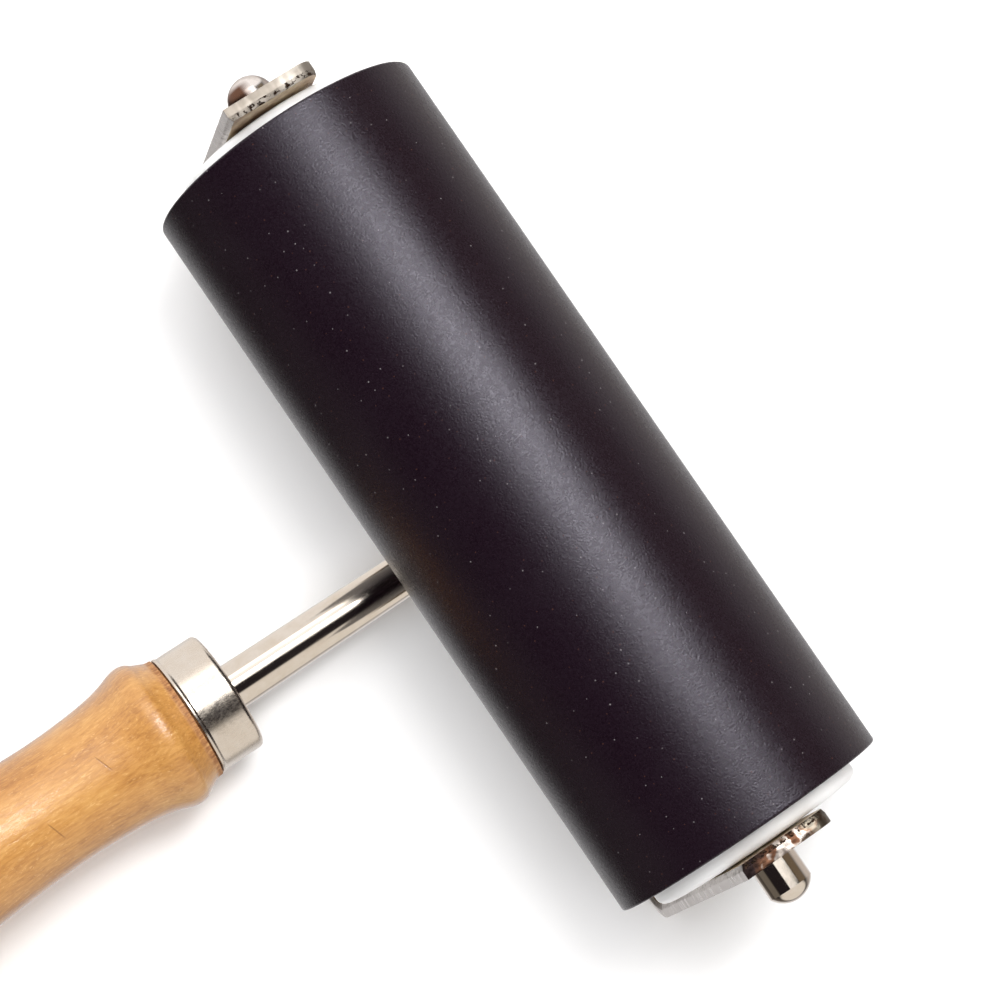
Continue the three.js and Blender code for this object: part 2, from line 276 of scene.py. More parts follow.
# Colour ramps, as (value, colour) stops
ARM_STAINS = (
    (0.38, (0.012, 0.008, 0.008)),
    (0.46, (0.07, 0.034, 0.02)),
    (0.50, (0.38, 0.34, 0.31)),
    (0.55, (0.10, 0.06, 0.04)),
    (0.61, (0.18, 0.16, 0.13)),
)
# the domed nut's painted shading, from painted shade on its sides to a painted highlight on top
NUT_PAINTED_SHADING = ((0.05, (0.20, 0.18, 0.17)), (0.45, (0.54, 0.47, 0.43)), (0.85, (0.95, 0.90, 0.87)))
INNER_FACE_CLOUDS = (
    (0.36, (0.20, 0.10, 0.045)),
    (0.48, (0.50, 0.34, 0.19)),
    (0.58, (0.66, 0.53, 0.34)),
    (0.70, (0.74, 0.66, 0.55)),
)
WOOD = (
    (0.34, (0.34, 0.14, 0.031)),
    (0.48, (0.48, 0.222, 0.052)),
    (0.60, (0.57, 0.29, 0.078)),
    (0.74, (0.64, 0.365, 0.12)),
)
BARE_WOOD = ((0.32, (0.17, 0.062, 0.022)), (0.52, (0.37, 0.165, 0.058)), (0.72, (0.62, 0.36, 0.15)))

NICK_PITCH = 70.0  # cells for each metre, of which one in four holds a nick
NICK_SHARE = 0.25


class Nodes:
    """A short way to write a material's node tree. Its place output is in the tool's axes."""

    def __init__(self, name):
        self.material = bpy.data.materials.new(name)
        self.material.use_nodes = True
        self.tree = self.material.node_tree
        self.tree.nodes.clear()
        to_tool = TOOL.inverted()
        tilt = self.add("ShaderNodeMapping", Vector=self.add("ShaderNodeTexCoord").outputs["Object"])
        tilt.inputs["Rotation"].default_value = to_tool.to_euler()
        tilt.inputs["Location"].default_value = to_tool.translation
        self.place = tilt.outputs["Vector"]

    def add(self, kind, settings=None, **inputs):
        """Makes a node. An input that is a socket is linked, and any other value is set."""
        node = self.tree.nodes.new(kind)
        for key, value in (settings or {}).items():
            setattr(node, key, value)
        for key, value in inputs.items():
            self.put(node.inputs[key.replace("_", " ")], value)
        return node

    def put(self, socket, value):
        if isinstance(value, bpy.types.NodeSocket):
            self.tree.links.new(value, socket)
        else:
            socket.default_value = value

    def stretch(self, scale, place=None):
        node = self.add("ShaderNodeMapping")
        self.put(node.inputs["Vector"], place or self.place)
        node.inputs["Scale"].default_value = scale
        return node.outputs["Vector"]

    def noise(self, scale, detail=4.0, rough=0.55, place=None, distortion=0.0):
        """Noise with scale in bumps per metre. Returns its 0 to 1 value."""
        node = self.add("ShaderNodeTexNoise", Vector=place or self.place, Scale=scale, Detail=detail,
                        Roughness=rough, Distortion=distortion)
        return node.outputs["Fac"]

    def maths(self, operation, first, second=0.0):
        node = self.add("ShaderNodeMath", {"operation": operation})
        self.put(node.inputs[0], first)
        self.put(node.inputs[1], second)
        return node.outputs[0]

    def times(self, first, second):
        return self.maths("MULTIPLY", first, second)

    def plus(self, first, second):
        return self.maths("ADD", first, second)

    def remap(self, value, low, high, to_low=0.0, to_high=1.0, smooth=False):
        kind = "SMOOTHSTEP" if smooth else "LINEAR"
        node = self.add("ShaderNodeMapRange", {"interpolation_type": kind})
        for key, number in (("Value", value), ("From Min", low), ("From Max", high),
                            ("To Min", to_low), ("To Max", to_high)):
            self.put(node.inputs[key], number)
        return node.outputs["Result"]

    def ramp(self, value, stops):
        node = self.add("ShaderNodeValToRGB", Fac=value)
        ramp = node.color_ramp
        while len(ramp.elements) < len(stops):
            ramp.elements.new(0.5)
        for element, (position, colour) in zip(ramp.elements, stops):
            element.position = position
            element.color = (*colour, 1)
        return node.outputs["Color"]

    def mix(self, amount, first, second):
        node = self.add("ShaderNodeMix", {"data_type": "RGBA"})
        for key, value in (("Factor", amount), ("A", first), ("B", second)):
            socket = next(one for one in node.inputs if one.name == key and one.enabled)
            if isinstance(value, tuple) and len(value) == 3:
                value = (*value, 1)
            self.put(socket, value)
        return next(one for one in node.outputs if one.enabled)

    def bump(self, height, distance, strength=1.0, normal=None):
        node = self.add("ShaderNodeBump", Height=height, Distance=distance, Strength=strength)
        if normal is not None:
            self.put(node.inputs["Normal"], normal)
        return node.outputs["Normal"]

    def axes(self, place=None):
        node = self.add("ShaderNodeSeparateXYZ", Vector=place or self.place)
        return node.outputs["X"], node.outputs["Y"], node.outputs["Z"]

    def specks(self, scale, size, share):
        """Sparse round specks: one cell in so many holds one. Returns 1 inside a speck."""
        cells = self.add("ShaderNodeTexVoronoi", Vector=self.place, Scale=scale)
        pick = self.axes(cells.outputs["Color"])[0]
        here = self.maths("LESS_THAN", pick, share)
        dot = self.remap(cells.outputs["Distance"], size * 0.5, size, 1.0, 0.0, smooth=True)
        return self.times(here, dot)

    def round_specks(self, radius, scale, size, share):
        """Sparse specks on a cylinder about Y, picked on its unrolled surface. Returns 1 inside."""
        x, y, z = self.axes()
        around = self.times(self.maths("ARCTAN2", x, z), radius)
        flat = self.add("ShaderNodeCombineXYZ", X=around, Y=y).outputs[0]
        cells = self.add("ShaderNodeTexVoronoi", {"voronoi_dimensions": "2D"}, Vector=flat, Scale=scale)
        pick, second, _ = self.axes(cells.outputs["Color"])
        here = self.maths("LESS_THAN", pick, share)
        wide = self.remap(second, 0, 1, size * 0.5, size)
        dot = self.remap(cells.outputs["Distance"], 0, wide, 1.4, 0.0)
        dot = self.add("ShaderNodeClamp", Value=dot).outputs[0]
        reach = self.maths("SQRT", self.plus(self.maths("POWER", x, 2), self.maths("POWER", z, 2)))
        outside = self.maths("GREATER_THAN", reach, radius - BROKEN)
        return self.times(self.times(here, dot), outside)

    def shader(self, **inputs):
        """Ends the tree with a Principled shader and returns the material."""
        shader = self.add("ShaderNodeBsdfPrincipled")
        for key, value in inputs.items():
            if isinstance(value, tuple) and len(value) == 3 and "Color" in key:
                value = (*value, 1)
            self.put(shader.inputs[key.replace("_", " ")], value)
        output = self.add("ShaderNodeOutputMaterial")
        self.put(output.inputs["Surface"], shader.outputs["BSDF"])
        return self.material


def black_rubber(radius):
    """Ground rubber: a fine even grain, with a few pale and brown specks of dust on its outer surface."""
    n = Nodes("black_rubber")
    grain = n.noise(2600, detail=2, rough=0.6)
    cloud = n.noise(60, detail=3)
    ground = n.noise(900, detail=3)
    colour = n.mix(n.remap(grain, 0.3, 0.75), RUBBER, RUBBER_GRAIN)
    colour = n.mix(n.remap(cloud, 0.35, 0.7, 0, 0.35), colour, RUBBER_CLOUD)
    pale = n.round_specks(radius, 300.0, 0.06, 0.26)
    brown = n.round_specks(radius, 330.0, 0.06, 0.42)
    colour = n.mix(n.times(pale, 0.75), colour, PALE_DUST)
    colour = n.mix(n.times(brown, 0.6), colour, BROWN_DUST)
    rough = n.remap(grain, 0.25, 0.8, 0.24, 0.32)
    rough = n.plus(rough, n.remap(ground, 0.3, 0.7, -0.03, 0.03))
    height = n.plus(grain, n.times(n.noise(4600, detail=2), 0.35))
    normal = n.bump(height, 0.095 * MM, 0.7)
    return n.shader(Base_Color=colour, Roughness=rough, Normal=normal, IOR=1.5,
                    Specular_Tint=(0.88, 0.87, 1.0, 1))


def white_plastic():
    """The end caps: slightly translucent, with a few brown specks."""
    n = Nodes("white_plastic")
    cloud = n.noise(90, detail=3)
    colour = n.mix(n.remap(cloud, 0.3, 0.7), CAP_WHITE, CAP_PALER)
    dirt = n.specks(260, 0.10, 0.10)
    colour = n.mix(n.times(dirt, 0.7), colour, CAP_DIRT)
    rough = n.remap(n.noise(700), 0.3, 0.7, 0.30, 0.42)
    normal = n.bump(n.noise(1200, detail=2), 0.01 * MM, 0.5)
    return n.shader(Base_Color=colour, Roughness=rough, Normal=normal, IOR=1.5, Subsurface_Weight=0.6,
                    Subsurface_Scale=4 * MM, Subsurface_Radius=(1.0, 1.0, 1.0))


def nickel(name="nickel", rough_low=0.07, rough_high=0.16, along=(0.06, 1, 1), ripple=0.004):
    """Plated steel: warm, bright, with faint stains and with fine polishing lines.

    along squeezes the lines' noise on each axis, so they run along the axis with the least number.
    The ripple's depth is in millimetres.
    """
    n = Nodes(name)
    lines = n.noise(2600, detail=3, place=n.stretch(along))
    stain = n.noise(240, detail=4, rough=0.65)
    colour = n.mix(n.remap(stain, 0.35, 0.75), NICKEL, NICKEL_STAIN)
    rough = n.remap(lines, 0.3, 0.75, rough_low, rough_high)
    rough = n.plus(rough, n.remap(stain, 0.4, 0.75, 0, 0.05))
    height = n.plus(n.times(lines, 0.4), n.noise(420, detail=2))
    normal = n.bump(height, ripple * MM, 0.8)
    return n.shader(Base_Color=colour, Metallic=1.0, Roughness=rough, Normal=normal)


def sheared_edge(name, torn, centre_x):
    """The strip's cut edge: a burnished band with drag lines, or the torn band with more dark pits.

    Away from the handle's side it is dull and cream on the domed end's arm. On the flat end's arm it is
    stained, from black on the handle's side to olive on the far one. The faces that look toward the handle
    are painted pale grey, a painted reflection of the white floor on that side.
    """
    n = Nodes(name)
    facing = n.axes(n.add("ShaderNodeTexCoord").outputs["Normal"])[0]
    handle_side = n.remap(facing, 0.6, 0.8)
    drag = n.noise(1100, detail=3, place=n.stretch((1, 0.12, 1)))
    pits = n.noise(1150, detail=4, rough=0.7)
    wave = n.noise(260, detail=2, rough=0.5)
    low, high = (0.52, 0.58) if torn else (0.66, 0.74)
    dark = n.remap(pits, low, high)
    dark = n.times(dark, n.remap(handle_side, 0, 1, 1.0, 0.25))
    colour = n.mix(n.remap(drag, 0.35, 0.7), CUT_BRIGHT, CUT_DRAGGED)
    colour = n.mix(n.remap(wave, 0.50, 0.62, 0, 0.75), colour, CUT_BROWN)
    x, y, _ = n.axes()
    flat_end = n.remap(y, -20 * MM, 20 * MM)
    far_side = n.remap(x, centre_x + 9 * MM, centre_x - 9 * MM)
    place = n.plus(n.times(n.noise(300, detail=2, rough=0.5), 0.6), n.times(far_side, 0.4))
    stain = n.ramp(place, ARM_STAINS)
    cream = n.mix(n.remap(wave, 0.4, 0.6), CUT_CREAM, CUT_CREAM_SHADE)
    colour = n.mix(n.times(n.remap(flat_end, 0, 1, 1, 0), 0.8), colour, cream)
    colour = n.mix(flat_end, colour, stain)
    # painted reflection: cut faces turned toward the handle are coloured pale grey, standing for the white floor
    # they mirror
    colour = n.mix(handle_side, colour, CUT_HANDLE_SIDE_REFLECTION)
    colour = n.mix(dark, colour, CUT_PIT)
    rough = n.remap(drag, 0.3, 0.7, 0.20, 0.34) if torn else n.remap(drag, 0.3, 0.7, 0.12, 0.24)
    rough = n.plus(rough, n.times(dark, 0.3))
    rough = n.plus(rough, n.times(handle_side, 0.12))
    dull = n.remap(flat_end, 0, 1, 0.34, 0.14)
    rough = n.plus(rough, n.times(n.remap(handle_side, 0, 1, 1, 0), dull))
    calm = n.remap(handle_side, 0, 1, 1.0, 0.15)
    height = n.maths("SUBTRACT", n.times(drag, 0.6), n.times(dark, 1.4))
    swell = n.bump(n.times(wave, calm), 0.8 * MM, 0.5)
    normal = n.bump(n.times(height, calm), (0.12 if torn else 0.05) * MM, 1.0, swell)
    return n.shader(Base_Color=colour, Metallic=1.0, Roughness=rough, Normal=normal)


def painted_shading_nickel(low, high):
    """The domed nut, whose colour holds painted light and shade: pale on faces turned up (a painted highlight),
    dark down its sides (painted shade), and dark brown beside the arm on the handle's side (a painted reflection).
    """
    n = Nodes("painted_shading_nickel")
    x, y, _ = n.axes()
    upward = n.axes(n.add("ShaderNodeTexCoord").outputs["Normal"])[2]
    cloud = n.noise(700, detail=3)
    # painted highlight and shade: faces turned up get the pale end of the ramp, faces turned aside the dark end
    painted_top_light = n.plus(n.remap(upward, 0.10, 0.85), n.remap(cloud, 0.3, 0.7, -0.12, 0.12))
    colour = n.ramp(painted_top_light, NUT_PAINTED_SHADING)
    middle = (low.x + high.x) / 2
    radius = (high.x - low.x) / 2
    beside = n.remap(x, middle - 0.1 * radius, middle + 0.35 * radius)
    depth = high.y - low.y
    inboard = n.remap(y, low.y + 0.12 * depth, low.y + 0.24 * depth)
    # painted reflection: a dark brown patch beside the arm on the handle's side
    brown = n.times(beside, inboard)
    colour = n.mix(n.times(brown, 0.95), colour, NUT_PAINTED_REFLECTION)
    rough = n.plus(n.remap(cloud, 0.3, 0.7, 0.12, 0.2), n.times(brown, 0.12))
    return n.shader(Base_Color=colour, Metallic=1.0, Roughness=rough, Normal=n.bump(cloud, 0.01 * MM, 0.7))


def dulled_plate():
    """The arms' inner faces: gold, tan and brown clouds, partly metallic."""
    n = Nodes("dulled_plate")
    cloud = n.noise(160, detail=4, rough=0.6)
    fine = n.noise(1500, detail=3)
    colour = n.ramp(cloud, INNER_FACE_CLOUDS)
    rough = n.remap(fine, 0.3, 0.7, 0.30, 0.46)
    return n.shader(Base_Color=colour, Metallic=0.6, Roughness=rough, Normal=n.bump(fine, 0.03 * MM, 0.8))


def lacquered_wood(shoulder_end):
    """Honey-stained beech under gloss lacquer; the turned shoulder by the ferrule is bare and rough."""
    n = Nodes("lacquered_wood")
    x, _, _ = n.axes()
    warp = n.noise(70, detail=2)
    fibre_place = n.stretch((0.17, 1, 1))
    fibre = n.noise(1900, detail=5, rough=0.65, place=fibre_place, distortion=0.4)
    fleck = n.noise(2300, detail=3, rough=0.6, place=n.stretch((0.3, 1, 1)), distortion=1.2)
    band = n.noise(95, detail=3, place=n.stretch((0.35, 1, 1)), distortion=0.8)
    tone = n.plus(n.times(band, 0.45), n.times(fibre, 0.55))
    tone = n.plus(tone, n.remap(warp, 0.3, 0.7, -0.05, 0.05))
    colour = n.ramp(tone, WOOD)
    colour = n.mix(n.remap(fleck, 0.60, 0.74, 0, 0.35), colour, WOOD_FLECK)
    colour = n.mix(n.remap(fleck, 0.30, 0.42, 0.45, 0), colour, WOOD_GLINT)
    # short dark nicks across the grain
    cells = n.add("ShaderNodeTexVoronoi", Vector=n.place, Scale=NICK_PITCH)
    offset = n.add("ShaderNodeVectorMath", {"operation": "SUBTRACT"})
    n.put(offset.inputs[0], n.place)
    n.put(offset.inputs[1], cells.outputs["Position"])
    nick_x, nick_y, _ = n.axes(offset.outputs[0])
    slant = n.plus(nick_x, n.times(nick_y, 0.35))
    thin = n.remap(n.maths("ABSOLUTE", slant), 0.05 * MM, 0.22 * MM, 1, 0, smooth=True)
    short = n.remap(n.maths("ABSOLUTE", nick_y), 1.2 * MM, 2.2 * MM, 1, 0, smooth=True)
    pick = n.maths("LESS_THAN", n.axes(cells.outputs["Color"])[0], NICK_SHARE)
    nick = n.times(n.times(thin, short), pick)
    colour = n.mix(n.times(nick, 0.6), colour, WOOD_NICK)
    # bare shoulder
    bare = n.remap(x, shoulder_end - 0.5 * MM, shoulder_end + 0.3 * MM, 1, 0, smooth=True)
    chips = n.noise(1400, detail=4, rough=0.7, place=n.stretch((0.25, 1, 1)))
    colour = n.mix(bare, colour, n.ramp(chips, BARE_WOOD))
    rough = n.remap(fibre, 0.3, 0.7, 0.38, 0.52)
    rough = n.plus(rough, n.times(bare, 0.25))
    pores = n.plus(n.times(fibre, 0.6), n.times(fleck, 0.6))
    pores = n.plus(pores, n.times(nick, -1.2))
    pores = n.plus(pores, n.times(n.times(chips, bare), 5.0))
    normal = n.bump(pores, 0.05 * MM, 0.7)
    streak = n.noise(900, detail=4, rough=0.65, place=n.stretch((0.16, 1, 1)), distortion=0.6)
    coat_normal = n.bump(streak, 0.14 * MM, 1.0, n.bump(pores, 0.04 * MM, 0.4))
    coat = n.remap(bare, 0, 1, 1.0, 0.05)
    return n.shader(Base_Color=colour, Roughness=rough, Normal=normal, Coat_Weight=coat,
                    Coat_Roughness=0.13, Coat_Normal=coat_normal, IOR=1.5)


def turned_bronze():
    """The bushes: porous sintered bronze."""
    n = Nodes("bronze")
    pores = n.noise(3500, detail=3, rough=0.7)
    colour = n.mix(n.remap(pores, 0.4, 0.7), BRONZE, BRONZE_PORE)
    rough = n.remap(pores, 0.3, 0.7, 0.3, 0.5)
    return n.shader(Base_Color=colour, Metallic=1.0, Roughness=rough, Normal=n.bump(pores, 0.02 * MM, 0.7))


def drawn_aluminium():
    """The core tube, with draw lines along it."""
    n = Nodes("core_tube")
    lines = n.noise(1800, detail=3, place=n.stretch((1, 0.05, 1)))
    colour = n.mix(lines, ALUMINIUM_LINE, ALUMINIUM)
    rough = n.remap(lines, 0.3, 0.7, 0.28, 0.42)
    return n.shader(Base_Color=colour, Metallic=1.0, Roughness=rough, Normal=n.bump(lines, 0.01 * MM, 0.8))


def washer_plastic():
    """The thrust washers: dull, slightly yellow white."""
    n = Nodes("washer_plastic")
    cloud = n.noise(400, detail=3)
    colour = n.mix(cloud, WASHER_SHADE, WASHER_WHITE)
    normal = n.bump(n.noise(1500), 0.01 * MM, 0.6)
    return n.shader(Base_Color=colour, Roughness=n.remap(cloud, 0.3, 0.7, 0.45, 0.6), Normal=normal)


def studio_floor():
    """A plain, nearly white floor."""
    n = Nodes("floor")
    cloud = n.noise(6, detail=2)
    colour = n.mix(cloud, FLOOR_SHADE, FLOOR_WHITE)
    return n.shader(Base_Color=colour, Roughness=0.9, Normal=n.bump(n.noise(300), 0.02 * MM, 0.2))


# ---------------------------------------------------------------- roller
def make_roller():
    """The rubber, its core tube, and a white cap and a bronze bush for each end."""
    rubber_high = extent("rubber_sleeve")[1]
    core_low, core_high = extent("core_tube")
    half = rubber_high.y
    outer = rubber_high.x - FACET_TRIM
    bore = core_high.x + BOND_GAP
    sleeve = tube(bore, outer, -half, half, CRISP, ROUNDED, steps=6)
    finish_piece("rubber_sleeve", lathe(sleeve, segments=LARGE), black_rubber(outer))

    core_inner = core_high.x - CORE_WALL
    core = tube(core_inner, core_high.x, core_low.y, core_high.y, BROKEN, BROKEN)
    finish_piece("core_tube", lathe(core), drawn_aluminium())

    plastic = white_plastic()
    bronze = turned_bronze()
    for end, side in (("domed_end", -1), ("flat_end", 1)):
        cap_low, cap_high = extent(f"end_cap_{end}")
        bush_low, bush_high = extent(f"bush_{end}")
        face = max(abs(cap_low.y), abs(cap_high.y))
        plug_end = min(abs(cap_low.y), abs(cap_high.y))
        flange = cap_high.x
        plug = core_inner - BOND_GAP
        hub = CAP_HUB_RADIUS
        recess = CAP_RECESS_RADIUS
        hub_face = face - CAP_RECESS
        web = half - CAP_WEB
        skirt = plug - CAP_PLUG_WALL
        cap_bore = bush_high.x + BOND_GAP
        corners = [
            (cap_bore, plug_end, EASED), (hub, plug_end, ROUNDED), (hub, web, SWEPT),
            (skirt, web, SWEPT), (skirt, plug_end, ROUNDED), (plug, plug_end, LEAD_IN),
            (plug, half, CRISP), (flange, half, BROKEN), (flange, face, CAP_FILLET),
            (recess + CAP_RECESS, face, ROUNDED), (recess, hub_face, EASED),
            (cap_bore, hub_face, CRISP),
        ]
        outline = [(radius, along * side) for radius, along in rounded(corners)]
        finish_piece(f"end_cap_{end}", lathe(outline), plastic)
        bush_bore = extent("spindle")[1].x + RUNNING_GAP
        bush = tube(bush_bore, bush_high.x, bush_low.y, bush_high.y, BROKEN, EASED)
        finish_piece(f"bush_{end}", lathe(bush, segments=SMALL), bronze)


# ---------------------------------------------------------------- axle
def make_axle(bright):
    """The spindle, which necks down at both ends, its thrust washers and its two blind nuts."""
    low, high = extent("spindle")
    nut_low, nut_high = extent("axle_nut_flat")
    shaft = high.x
    shoulder = turned_end("spindle", (NECK_RADIUS + shaft) / 2)
    half = [(shaft, shoulder, BROKEN), (NECK_RADIUS, shoulder, CRISP), (NECK_RADIUS, high.y, LEAD_IN)]
    mirrored = [(radius, -along, size) for radius, along, size in reversed(half)]
    corners = [(0, low.y, 0), *mirrored, *half, (0, high.y, 0)]
    finish_piece("spindle", lathe(rounded(corners, 4, closed=False), segments=SMALL, closed=False), bright)

    plastic = washer_plastic()
    for end in ("domed_end", "flat_end"):
        low, high = extent(f"thrust_washer_{end}")
        ring = tube(shaft + RUNNING_GAP, high.x, low.y, high.y, CRISP, THIN_EDGE)
        finish_piece(f"thrust_washer_{end}", lathe(ring, segments=SMALL), plastic)

    radius = extent("axle_nut_domed")[1].x
    flat_radius = nut_high.x
    seat = nut_low.y
    tip = nut_high.y
    thread_end = seat + NUT_THREAD_DEPTH
    thread = NECK_RADIUS + BOND_GAP
    base = [(0, thread_end, 0), (thread, thread_end, EASED), (thread, seat, BROKEN)]
    corners = [*base, (radius, seat, NUT_EDGE), (radius, tip - radius, 0)]
    dome_points = rounded(corners, 4, closed=False)
    for step in range(1, DOME_STEPS + 1):
        angle = math.pi / 2 * step / DOME_STEPS
        reach = radius * math.cos(angle) if step < DOME_STEPS else 0.0
        dome_points.append((reach, tip - radius + radius * math.sin(angle)))
    domed = [(reach, -along) for reach, along in dome_points]
    # the domed nut's look carries painted highlight, shade and reflection in its colour
    nut_painted_look = painted_shading_nickel(*extent("axle_nut_domed"))
    finish_piece("axle_nut_domed", lathe(domed, segments=SMALL, closed=False), nut_painted_look)

    ball = (flat_radius ** 2 + NUT_CROWN ** 2) / (2 * NUT_CROWN)
    crown_angle = math.asin(flat_radius / ball)
    corners = [*base, (flat_radius, seat, NUT_EDGE), (flat_radius, tip - NUT_CROWN, 0)]
    flat = rounded(corners, 6, closed=False)
    for step in range(1, CROWN_STEPS + 1):
        angle = crown_angle * (1 - step / CROWN_STEPS)
        flat.append((ball * math.sin(angle), tip - ball + ball * math.cos(angle)))
    finish_piece("axle_nut_flat", lathe(flat, segments=SMALL, closed=False), bright, NUT_SHARP_DEGREES)


# ---------------------------------------------------------------- yoke
SHEAR_DEPTH = -0.13  # where the burnished band gives way to the torn one, as a share of the thickness
TORN_SLOPE = 0.3 * MM  # how far the torn band of a sheared edge falls back
ROLL_OVER = 0.1 * MM  # how far the burnished band falls toward the strip's outer face
SLOPED_END = 3 * MM  # length of arm over which both fade out
SHEAR_WANDER = 0.22 * MM  # how far the line between the bands wanders
EDGE_BREAK = 0.22 * MM
EDGE_BREAK_STEPS = 3
EDGE_BREAK_DEGREES = 50
CORNER_STEPS = 10
ARM_STEPS = 24
BEND_STEPS = 12
BAR_STEPS = 24


def strip_stations(low, high, top_y):
    """Places along the middle of the bent strip, as (y, z, outward normal y, outward normal z)."""
    middle = STRIP_THICKNESS / 2
    bend_z = low.z + BEND_RADIUS
    splay = math.atan2(high.y - top_y, high.z - bend_z)
    out_y, out_z = math.cos(splay), math.sin(splay)
    bend_y = high.y - BEND_RADIUS / out_y
    bend = BEND_RADIUS - middle
    top = high.z
    arm = []
    for step in range(CORNER_STEPS + 1):
        arm.append(top - ARM_CORNER_RADIUS * (1 - math.cos(math.pi / 2 * step / CORNER_STEPS)))
    below = top - ARM_CORNER_RADIUS
    arm += [below - (below - bend_z) * step / ARM_STEPS for step in range(1, ARM_STEPS)]
    right = []
    for z in arm:
        outer = top_y + (top - z) * math.tan(splay)
        right.append((outer - middle / out_y, z, out_y, out_z))
    for step in range(BEND_STEPS + 1):
        angle = splay + (-math.pi / 2 - splay) * step / BEND_STEPS
        right.append((bend_y + bend * math.cos(angle), bend_z + bend * math.sin(angle),
                      math.cos(angle), math.sin(angle)))
    left = [(-y, z, -normal_y, normal_z) for y, z, normal_y, normal_z in reversed(right)]
    bar = [(bend_y * (1 - 2 * step / BAR_STEPS), low.z + middle, 0, -1) for step in range(1, BAR_STEPS)]
    return right + bar + left


def make_yoke(bright):
    """The strip that is bent round the roller, with sheared edges of two bands and a hole in each arm."""
    low, high = extent("yoke")
    places = places_of("yoke")
    end = places[places[:, 2] > high.z - TOUCHING]
    top_handle = end[:, 0].max()
    top_y = end[:, 1].max()
    bar = places[places[:, 2] < low.z + TOUCHING][:, 0]
    bar_handle, bar_far = bar.max(), bar.min()
    width = bar_handle - bar_far
    bar_z = low.z + STRIP_THICKNESS / 2
    corner_z = high.z - ARM_CORNER_RADIUS
    corner_x = top_handle - width + ARM_CORNER_RADIUS

    def edges(z):
        """The strip's far and handle-side X at a height."""
        part = min(1.0, (high.z - z) / (high.z - bar_z))
        handle = top_handle + (bar_handle - top_handle) * part
        if z > corner_z:
            rise = min(z - corner_z, ARM_CORNER_RADIUS)
            return corner_x - math.sqrt(ARM_CORNER_RADIUS ** 2 - rise ** 2), handle
        part = min(1.0, (corner_z - z) / (corner_z - bar_z))
        far = (top_handle - width) + (bar_far - (top_handle - width)) * part
        return far, handle

    mesh = bmesh.new()
    rings = []
    for y, z, out_y, out_z in strip_stations(low, high, top_y):
        far, handle = edges(z)
        at_end = max(0.0, 1 - (high.z - z) / SLOPED_END)
        torn_drop = at_end * TORN_SLOPE
        roll_drop = at_end * ROLL_OVER
        ring = []
        section = (
            (far, 0.5, roll_drop), (handle, 0.5, roll_drop), (handle, SHEAR_DEPTH, 0),
            (handle - 2 * TORN_SLOPE, -0.5, torn_drop), (far + TORN_SLOPE, -0.5, torn_drop),
            (far, SHEAR_DEPTH, 0),
        )
        for x, depth, drop in section:
            reach = depth * STRIP_THICKNESS
            if depth == SHEAR_DEPTH:
                reach += SHEAR_WANDER * noise.noise(Vector((x * 400, y * 500, z * 500)))
            ring.append(mesh.verts.new((x, y + out_y * reach, z + out_z * reach - drop)))
        rings.append(ring)
    outside, burnished, torn, inside = range(4)
    bands = (outside, burnished, torn, inside, torn, burnished)
    for before, after in zip(rings, rings[1:]):
        for side, look in enumerate(bands):
            beyond = (side + 1) % len(bands)
            face = mesh.faces.new((before[side], before[beyond], after[beyond], after[side]))
            face.material_index = look
    for ring in (rings[0], rings[-1]):
        outer_face = mesh.faces.new((ring[0], ring[1], ring[2], ring[5]))
        outer_face.material_index = burnished
        inner_face = mesh.faces.new((ring[5], ring[2], ring[3], ring[4]))
        inner_face.material_index = torn
    bmesh.ops.recalc_face_normals(mesh, faces=mesh.faces)
    nut_low, nut_high = extent("axle_nut_flat")
    middle = (nut_low.x + nut_high.x) / 2
    looks = [bright, sheared_edge("sheared_band", False, middle), sheared_edge("torn_band", True, middle),
             dulled_plate()]
    piece = finish_piece("yoke", mesh, looks)
    cut_holes(piece, high.y)
    bevel = piece.modifiers.new("broken_edges", "BEVEL")
    bevel.width = EDGE_BREAK
    bevel.segments = EDGE_BREAK_STEPS
    bevel.limit_method = "ANGLE"
    bevel.angle_limit = math.radians(EDGE_BREAK_DEGREES)
    bevel.harden_normals = False
    piece.modifiers.move(len(piece.modifiers) - 1, 0)


def cut_holes(piece, reach):
    """Bores both arms, which stand within reach of the middle, and applies the cut."""
    past = reach + 2 * MM
    drill_outline = [(0, -past), (ARM_HOLE_RADIUS, -past), (ARM_HOLE_RADIUS, past), (0, past)]
    drill_mesh = lathe(drill_outline, segments=DRILL, closed=False)
    data = bpy.data.meshes.new("drill")
    drill_mesh.transform(TOOL)
    drill_mesh.to_mesh(data)
    drill_mesh.free()
    drill = bpy.data.objects.new("drill", data)
    bpy.context.scene.collection.objects.link(drill)
    cut = piece.modifiers.new("bore", "BOOLEAN")
    cut.operation = "DIFFERENCE"
    cut.solver = "EXACT"
    cut.object = drill
    piece.modifiers.move(len(piece.modifiers) - 1, 0)
    old = piece.data
    kept = [modifier.name for modifier in piece.modifiers if modifier.name != "bore"]
    for name in kept:
        piece.modifiers[name].show_viewport = False
    bpy.context.view_layer.update()
    evaluated = piece.evaluated_get(bpy.context.evaluated_depsgraph_get())
    piece.data = bpy.data.meshes.new_from_object(evaluated)
    piece.modifiers.remove(piece.modifiers["bore"])
    for name in kept:
        piece.modifiers[name].show_viewport = True
    bpy.data.meshes.remove(old)
    bpy.data.objects.remove(drill)
    piece.data.set_sharp_from_angle(angle=math.radians(SHARP_DEGREES))


